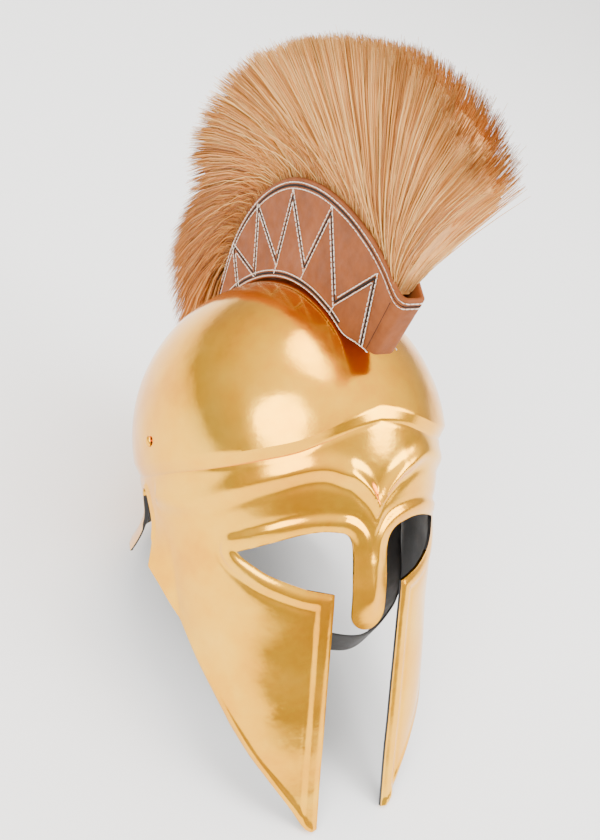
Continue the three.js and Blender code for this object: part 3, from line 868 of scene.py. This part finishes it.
def hair_path(share, reach_share, turn_by=0.0):
    """Root, bend and tip of hairs, as y and z, for shares from the rear to the front."""
    station = to_station(last_root + (first_root - last_root) * share)
    foot, edge = crest_line(crest_foot, station), crest_line(crest_edge, station)
    up = (edge - foot) / np.linalg.norm(edge - foot, axis=1)[:, None]
    root = edge - up * hair_sink
    degrees = hair_from + share * (hair_to - hair_from)
    reach = hair_radius * along(hair_rows, degrees) * reach_share
    turn = np.radians(degrees + turn_by)
    tip = hair_centre + reach[:, None] * np.c_[np.cos(turn), np.sin(turn)]
    bend = root + up * (bend_share * np.linalg.norm(tip - root, axis=1))[:, None]
    return root, bend, tip


def on_path(path, t):
    root, bend, tip = path
    return (1 - t) ** 2 * root + 2 * t * (1 - t) * bend + t**2 * tip


core_columns = 240
core_margin = 10
core_reach = 0.945
core_ripple = 0.01
core_thick = 0.8
core_taper = 0.35
core_shares = np.linspace(0, 1, core_columns)
ripple = np.convolve(draw.normal(0, 1, core_columns + 2 * core_margin), np.ones(3) / 3, "same")
ripple = ripple[core_margin:-core_margin]
path = hair_path(core_shares, core_reach + core_ripple * ripple)
core_t = np.r_[np.linspace(0, 0.9, 18), 0.96]
sides = []
for t in core_t:
    thick = stem_half * along(hair_thick, t) * core_thick * (1 - core_taper * max(0, t - 0.8) / 0.2)
    sides.append(np.c_[thick + 0.7 * ripple * t, on_path(path, t)])
sides.append(np.c_[np.zeros(len(core_shares)), on_path(path, 1.0)])
sides += [side * (-1, 1, 1) for side in sides[-2::-1]]
core_rings = np.stack(sides, 1)
core = mesh_piece("plume_core", core_rings.reshape(-1, 3), tube_faces(core_columns, len(sides)))

strand_count = 5000
strand_radius = 0.34
strand_rows = 6
strand_sides = 3
# Degrees that a hair leans with its lock and on its own, then shares of its reach.
lock_lean = 0.45
own_lean = 0.7
strand_reach = 0.98
side_drop = 0.015
lock_reach = 0.006
own_reach = 0.009
stray_reach = 0.3


def strands(name, low, high, out_low, out_high):
    """Loose hairs rooted between two shares of the crest, and between two shares of its thickness."""
    share = np.clip(draw.uniform(low, high, strand_count), 0, 1)
    # Hairs lean with their lock and a little on their own, and a few fall short.
    lock = np.sin(share * 190) + 0.6 * np.sin(share * 71 + 1)
    turn_by = lock_lean * lock + draw.normal(0, own_lean, strand_count)
    side = np.sign(draw.uniform(-1, 1, strand_count)) * draw.uniform(out_low, out_high, strand_count)
    reach = strand_reach - side_drop * side**2 + lock_reach * lock + draw.normal(0, own_reach, strand_count)
    reach -= stray_reach * np.maximum(0, draw.uniform(-9, 1, strand_count))
    path = hair_path(share, reach, turn_by)
    phase = draw.uniform(0, 2 * math.pi, (strand_count, 2))
    wave = draw.uniform(0.2, 1.1, strand_count)
    fan = draw.normal(1, 0.07, strand_count)
    rings = []
    times = np.linspace(0.03, 1, strand_rows)
    for t in times:
        yz = on_path(path, t)
        x = side * stem_half * along(hair_thick, t) * (1 + (fan - 1) * t)
        sway = wave * t * np.sin(4 * t + phase[:, 0])
        aside = x + 0.7 * wave * t * np.sin(5 * t + phase[:, 1])
        middle = np.c_[aside, yz[:, 0] + sway, yz[:, 1] + 0.5 * sway]
        radius = strand_radius * (0.75 + 0.5 * t - 1.0 * t**4)
        way = path[2] - path[0]
        way = way / np.linalg.norm(way, axis=1)[:, None]
        across = np.c_[np.zeros(strand_count), -way[:, 1], way[:, 0]]
        for k in range(strand_sides):
            a = 2 * math.pi * k / strand_sides
            rings.append(middle + radius * (math.cos(a) * across + math.sin(a) * np.array([1, 0, 0])))
    points = np.stack(rings, 1).reshape(-1, 3)
    faces = grid_faces(strand_rows, strand_sides)
    caps = np.array([range(strand_sides)[::-1], range(strand_sides)])
    caps[1] += strand_sides * (strand_rows - 1)
    strand_points = strand_sides * strand_rows
    base = (np.arange(strand_count) * strand_points)[:, None, None]
    quads = (faces[None] + base).reshape(-1, 4).tolist()
    ends = (caps[None] + base).reshape(-1, strand_sides).tolist()
    made = mesh_piece(name, points, quads + ends)
    tone = made.data.attributes.new("tone", "FLOAT", "POINT")
    shade = np.clip(0.5 + 0.25 * draw.normal(0, 1, strand_count) + 0.11 * lock, 0, 1)
    tone.data.foreach_set("value", np.repeat(shade, strand_points).astype(np.float32))
    length = made.data.attributes.new("along_hair", "FLOAT", "POINT")
    shares = np.tile(np.repeat(times, strand_sides), strand_count)
    length.data.foreach_set("value", shares.astype(np.float32))
    return made


# Painted shade: each hair's colour is multiplied darker towards its roots, where the crest box and the bundle
# shade it.
root_shade_tones = [(0.05, (0.5, 0.42, 0.36)), (0.4, (0.9, 0.88, 0.86)), (1, (1, 1, 1))]


def hair_material(name, dark, middle, light):
    """Hair whose colour changes from hair to hair, with painted shade that darkens it towards the roots."""
    made, tree, shader, place = new_material(name)
    tone = tree.nodes.new("ShaderNodeAttribute")
    tone.attribute_name = "tone"
    colour = colour_ramp(tree, tone.outputs["Fac"], (0.12, dark), (0.5, middle), (0.88, light))
    depth = tree.nodes.new("ShaderNodeAttribute")
    depth.attribute_name = "along_hair"
    mix = tree.nodes.new("ShaderNodeMix")
    mix.data_type = "RGBA"
    mix.blend_type = "MULTIPLY"
    mix.inputs["Factor"].default_value = 1
    tree.links.new(colour, mix.inputs["A"])
    # The painted shade at the roots multiplies each hair's colour.
    tree.links.new(colour_ramp(tree, depth.outputs["Fac"], *root_shade_tones), mix.inputs["B"])
    tree.links.new(mix.outputs["Result"], shader.inputs["Base Color"])
    shader.inputs["Roughness"].default_value = 0.42
    shader.inputs["Specular IOR Level"].default_value = 0.35
    add_bump(tree, shader, (noise(tree, place, 800, 2), 0.0001, 0.3))
    return made


fair = hair_material("fair_hair", (0.46, 0.17, 0.035), (0.84, 0.36, 0.075), (1.0, 0.63, 0.22))
rear_hair = hair_material("rear_hair", (0.34, 0.11, 0.018), (0.70, 0.26, 0.048), (0.95, 0.50, 0.15))
combed_tones = [(0.3, (0.45, 0.17, 0.035)), (0.7, (0.85, 0.41, 0.11))]
combed, tree, shader, place = new_material("combed_hair")
streak = noise(tree, place, 260, 5, 0.7, (1, 0.3, 0.3))
tree.links.new(colour_ramp(tree, streak, *combed_tones), shader.inputs["Base Color"])
tree.links.new(spread(tree, streak, 0.5, 0.75), shader.inputs["Roughness"])
add_bump(tree, shader, (streak, 0.001, 0.6))
core.data.materials.append(combed)
plume_pieces = [core]
for name, low, high, out_low, out_high, dye in (
        ("hair_rear", 0.0, 0.36, 0.1, 1.0, rear_hair),
        ("hair_middle", 0.3, 0.7, 0.1, 1.0, fair),
        ("hair_front", 0.62, 1.0, 0.1, 1.0, fair),
        ("hair_top", 0.0, 1.0, 0.0, 0.85, fair)):
    made = strands(name, low, high, out_low, out_high)
    made.data.materials.append(dye)
    plume_pieces.append(made)
for piece in plume_pieces:
    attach(piece, "root")
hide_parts("plume")

# Chin strap
# One band of black leather, 22 by 2 mm, riveted inside the dome at both temples and passing under the chin.
strap_width = 22.0
strap_thick = 2.0
rivet_wall = half_width * math.sqrt(1 - (rivet_rise / dome_top) ** 2)
strap_seat = rivet_wall - wall - strap_thick / 2 - 5.7 * fit
# Columns: x over the seat at the rivet, y over the front reach, z over the cheek drop.
strap_rows = [
    (0.987, 0, 0.08), (1, 0, 0.04), (0.998, 0, 0.018), (0.961, 0, -0.035), (0.94, -0.01, -0.12),
    (0.893, -0.05, -0.22), (0.784, -0.16, -0.34), (0.606, -0.36, -0.415), (0.313, -0.61, -0.455),
    (0, -0.71, -0.487)]
half_strap = np.array(strap_rows) * (strap_seat, front_reach, cheek_drop)
other_half = (half_strap[:-1] * (-1, 1, 1))[::-1]
strap_line = through(np.vstack([half_strap, other_half]), 180)
strap_way = np.gradient(strap_line, axis=0)
strap_way /= np.linalg.norm(strap_way, axis=1)[:, None]
strap_out = strap_line - (0, 0, -0.15 * cheek_drop)
strap_out -= np.einsum("ij,ij->i", strap_out, strap_way)[:, None] * strap_way
strap_out /= np.linalg.norm(strap_out, axis=1)[:, None]
strap_side = np.cross(strap_way, strap_out)
ring = np.linspace(0, 2 * math.pi, 28, endpoint=False)
flat = np.sign(np.cos(ring)) * np.abs(np.cos(ring)) ** 0.35 * strap_width / 2
thick = np.sign(np.sin(ring)) * np.abs(np.sin(ring)) ** 0.7 * strap_thick / 2
strap_points = strap_line[:, None] + strap_side[:, None] * flat[None, :, None]
strap_points = strap_points + strap_out[:, None] * thick[None, :, None]
strap_faces = tube_faces(len(strap_line), len(ring))
strap = mesh_piece("strap_leather", strap_points.reshape(-1, 3), strap_faces)
cut(strap, [rivet_bar(-1), rivet_bar(1)])
strap.data.set_sharp_from_angle(angle=math.radians(60))
strap_tones = [(0.3, (0.008, 0.007, 0.007)), (0.7, (0.025, 0.021, 0.019))]
dyed, tree, shader, place = new_material("black_leather")
mottle = noise(tree, place, 120, 5, 0.6)
tree.links.new(colour_ramp(tree, mottle, *strap_tones), shader.inputs["Base Color"])
tree.links.new(spread(tree, mottle, 0.4, 0.6), shader.inputs["Roughness"])
shader.inputs["Specular IOR Level"].default_value = 0.3
add_bump(tree, shader, (noise(tree, place, 1100, 3, 0.6), 0.0002, 0.5))
strap.data.materials.append(dyed)
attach(strap, "root")
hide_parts("chin_strap")

# Rivets and crest post
# Each rivet is turned brass: a low round head outside, a shank through shell and strap, a flat head inside.
# The plain brass post under the crest box keeps its solid.
rivet_head = 3.6
rivet_dome = 1.9
rivet_edge = 0.3
rivet_plate = 1
rivet_bore = 0.02
under = 2 * fit
inner = -wall - strap_thick - 7 * fit
cap_turns = np.linspace(0.1, math.pi / 2 - 0.05, 9)
cap = [(rivet_head * math.cos(a), under + rivet_dome * math.sin(a)) for a in cap_turns]
# Columns: radius, height over the dome's wall.
rivet_profile = [
    (rivet_bore, inner - rivet_plate), (rivet_head - rivet_edge, inner - rivet_plate),
    (rivet_head, inner - 0.7), (rivet_head, inner), (rivet_shank, inner), (rivet_shank, under),
    (rivet_head, under), *cap, (rivet_bore, under + rivet_dome)]
ring = np.linspace(0, 2 * math.pi, 40, endpoint=False)
for side, side_name in ((-1, "right"), (1, "left")):
    points = [
        (side * (rivet_wall + h), r * math.cos(a), rivet_rise + r * math.sin(a))
        for r, h in rivet_profile for a in ring]
    rivet_faces = tube_faces(len(rivet_profile), len(ring))
    rivet = mesh_piece("brass_rivet_" + side_name, np.array(points), rivet_faces)
    rivet.data.set_sharp_from_angle(angle=math.radians(40))
    rivet.data.materials.append(brass)
    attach(rivet, "root")
    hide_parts("rivet_" + side_name)
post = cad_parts["crest_post"]
post.data.materials.clear()
post.data.materials.append(brass)

# Floor and light
# A plain pale floor under plain soft studio light.
floor_half = 6.0
floor_corners = [(x * floor_half, y * floor_half, 0) for x, y in ((-1, -1), (1, -1), (1, 1), (-1, 1))]
floor_mesh = bpy.data.meshes.new("floor")
floor_mesh.from_pydata(floor_corners, [], [(0, 1, 2, 3)])
floor = bpy.data.objects.new("floor", floor_mesh)
bpy.context.scene.collection.objects.link(floor)
floor_paint, tree, shader, place = new_material("floor_paint")
shader.inputs["Base Color"].default_value = (0.86, 0.86, 0.86, 1)
shader.inputs["Roughness"].default_value = 0.7
floor_mesh.materials.append(floor_paint)

# The room's light, from its foot to its top.
studio_tones = [(0.0, (0.30, 0.29, 0.28)), (0.3, (0.42, 0.405, 0.39)), (1.0, (1, 0.975, 0.93))]
world = bpy.data.worlds.new("studio")
bpy.context.scene.world = world
world.use_nodes = True
tree = world.node_tree
around_room = tree.nodes.new("ShaderNodeTexCoord").outputs["Generated"]
split = tree.nodes.new("ShaderNodeSeparateXYZ")
tree.links.new(around_room, split.inputs["Vector"])
backdrop = tree.nodes["Background"]
tree.links.new(colour_ramp(tree, split.outputs["Z"], *studio_tones), backdrop.inputs["Color"])
backdrop.inputs["Strength"].default_value = 2.6


lit_middle = Vector((0, 0, 0.2))


def soft_light(name, place, size, power):
    """Round lamp turned towards the helmet's middle."""
    lamp = bpy.data.lights.new(name, "AREA")
    lamp.shape = "DISK"
    lamp.size = size
    lamp.energy = power
    made = bpy.data.objects.new(name, lamp)
    made.location = place
    made.rotation_mode = "QUATERNION"
    made.rotation_quaternion = (Vector(place) - lit_middle).to_track_quat("Z", "Y")
    bpy.context.scene.collection.objects.link(made)


# Name, place and size in metres, power in watts.
soft_light("key_light", (-1.3, -0.5, 1.5), 1.3, 34)
soft_light("fill_light", (1.2, -1.2, 1.2), 1.2, 36)
soft_light("top_light", (0.2, 0.6, 1.8), 1.3, 34)
